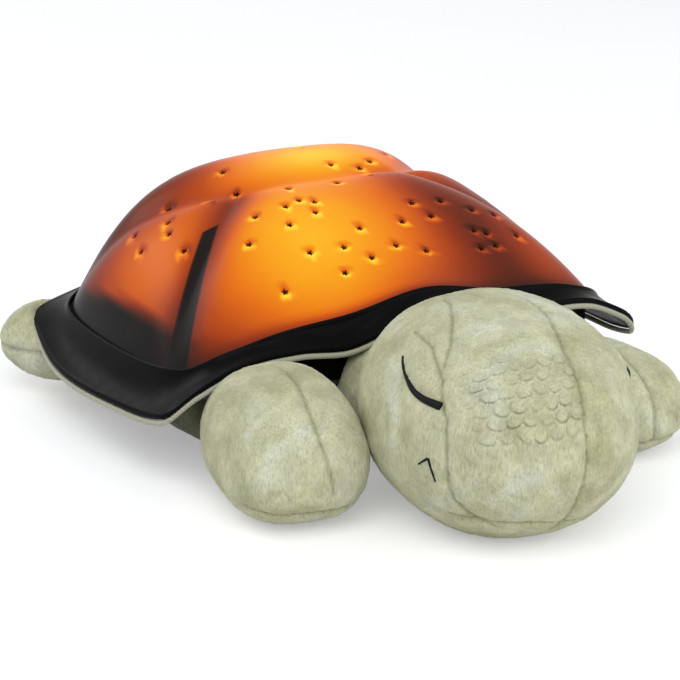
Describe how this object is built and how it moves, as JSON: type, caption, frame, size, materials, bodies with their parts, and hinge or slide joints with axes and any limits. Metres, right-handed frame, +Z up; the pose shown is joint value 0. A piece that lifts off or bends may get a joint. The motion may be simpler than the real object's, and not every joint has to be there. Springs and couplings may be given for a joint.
{
  "type": "star night light projector",
  "caption": "Plush turtle night light: a lit dome pierced with stars in a glossy black rim, over a stuffed body with a sleeping face.",
  "frame": {"origin": "on the floor under the middle of the bounding box's length, on the shell's centre line", "axes": "+Y towards the tail, +Z up, +X towards the animal's left flippers"},
  "size_m": [0.2862, 0.3599, 0.1183],
  "materials": {
    "lit_shell": "translucent moulding, gloss, lit from inside",
    "black_gloss": "gloss",
    "black_matte": "fine texture",
    "dark_plastic": "fine texture",
    "steel": "plated",
    "plated_spring": "nickel plated",
    "white_board": "solder mask",
    "green_board": "solder mask",
    "amber_lens": "clear domed",
    "green_lens": "clear domed",
    "blue_lens": "clear domed",
    "can_sleeve": "shrink sleeve",
    "cell_wrap": "satin wrap",
    "white_key": "satin",
    "amber_key": "satin",
    "green_key": "satin",
    "blue_key": "satin",
    "plush": "short pile, mottled",
    "belly_plush": "short pile",
    "beige_cord": "woven cord piping",
    "black_thread": "satin stitch",
    "hook_black": "hook and loop tape"
  },
  "bodies": {
    "turtle": {"dome": "lit_shell", "rim": "black_gloss", "piping": "beige_cord", "base_tray": "dark_plastic", "base_screws": "steel", "led_board": "white_board", "led_board_screws": "steel", "amber_led": "amber_lens", "green_led": "green_lens", "blue_led": "blue_lens", "control_board": "green_board", "control_board_screws": "steel", "control_chip": "black_matte", "capacitors": "can_sleeve", "cell_1": "cell_wrap", "cell_2": "cell_wrap", "cell_3": "cell_wrap", "contacts": "plated_spring", "cell_door": "dark_plastic", "door_screw": "steel", "bezel": "black_matte", "switch_bodies": "steel", "button_board": "green_board", "button_board_screws": "steel", "head": "plush", "neck": "plush", "front_flipper_right": "plush", "front_flipper_left": "plush", "rear_flipper_right": "plush", "rear_flipper_left": "plush", "tail": "plush", "belly": "belly_plush", "loop_tape": "hook_black", "eye_right": "black_thread", "eye_left": "black_thread", "nostril_right": "black_thread", "nostril_left": "black_thread"},
    "power_key": {"power_button": "white_key", "power_plunger": "black_matte"},
    "amber_key": {"amber_button": "amber_key", "amber_plunger": "black_matte"},
    "green_key": {"green_button": "green_key", "green_plunger": "black_matte"},
    "blue_key": {"blue_button": "blue_key", "blue_plunger": "black_matte"},
    "cell_flap": {"flap": "belly_plush", "hook_tape": "hook_black"}
  },
  "joints": [
    {"name": "power_press", "type": "slide", "parent": "turtle", "child": "power_key", "axis": [0, -0.8733, -0.4872], "range_m": [0, 0.0008], "stiffness_N_per_m": 1500},
    {"name": "amber_press", "type": "slide", "parent": "turtle", "child": "amber_key", "axis": [0, -0.8733, -0.4872], "range_m": [0, 0.0008], "stiffness_N_per_m": 1500},
    {"name": "green_press", "type": "slide", "parent": "turtle", "child": "green_key", "axis": [0, -0.8733, -0.4872], "range_m": [0, 0.0008], "stiffness_N_per_m": 1500},
    {"name": "blue_press", "type": "slide", "parent": "turtle", "child": "blue_key", "axis": [0, -0.8733, -0.4872], "range_m": [0, 0.0008], "stiffness_N_per_m": 1500},
    {"name": "flap_hinge", "type": "hinge", "parent": "turtle", "child": "cell_flap", "pos_m": [0, 0.0273, 0.0012], "axis": [-1, 0, 0], "range_deg": [0, 70]}
  ]
}
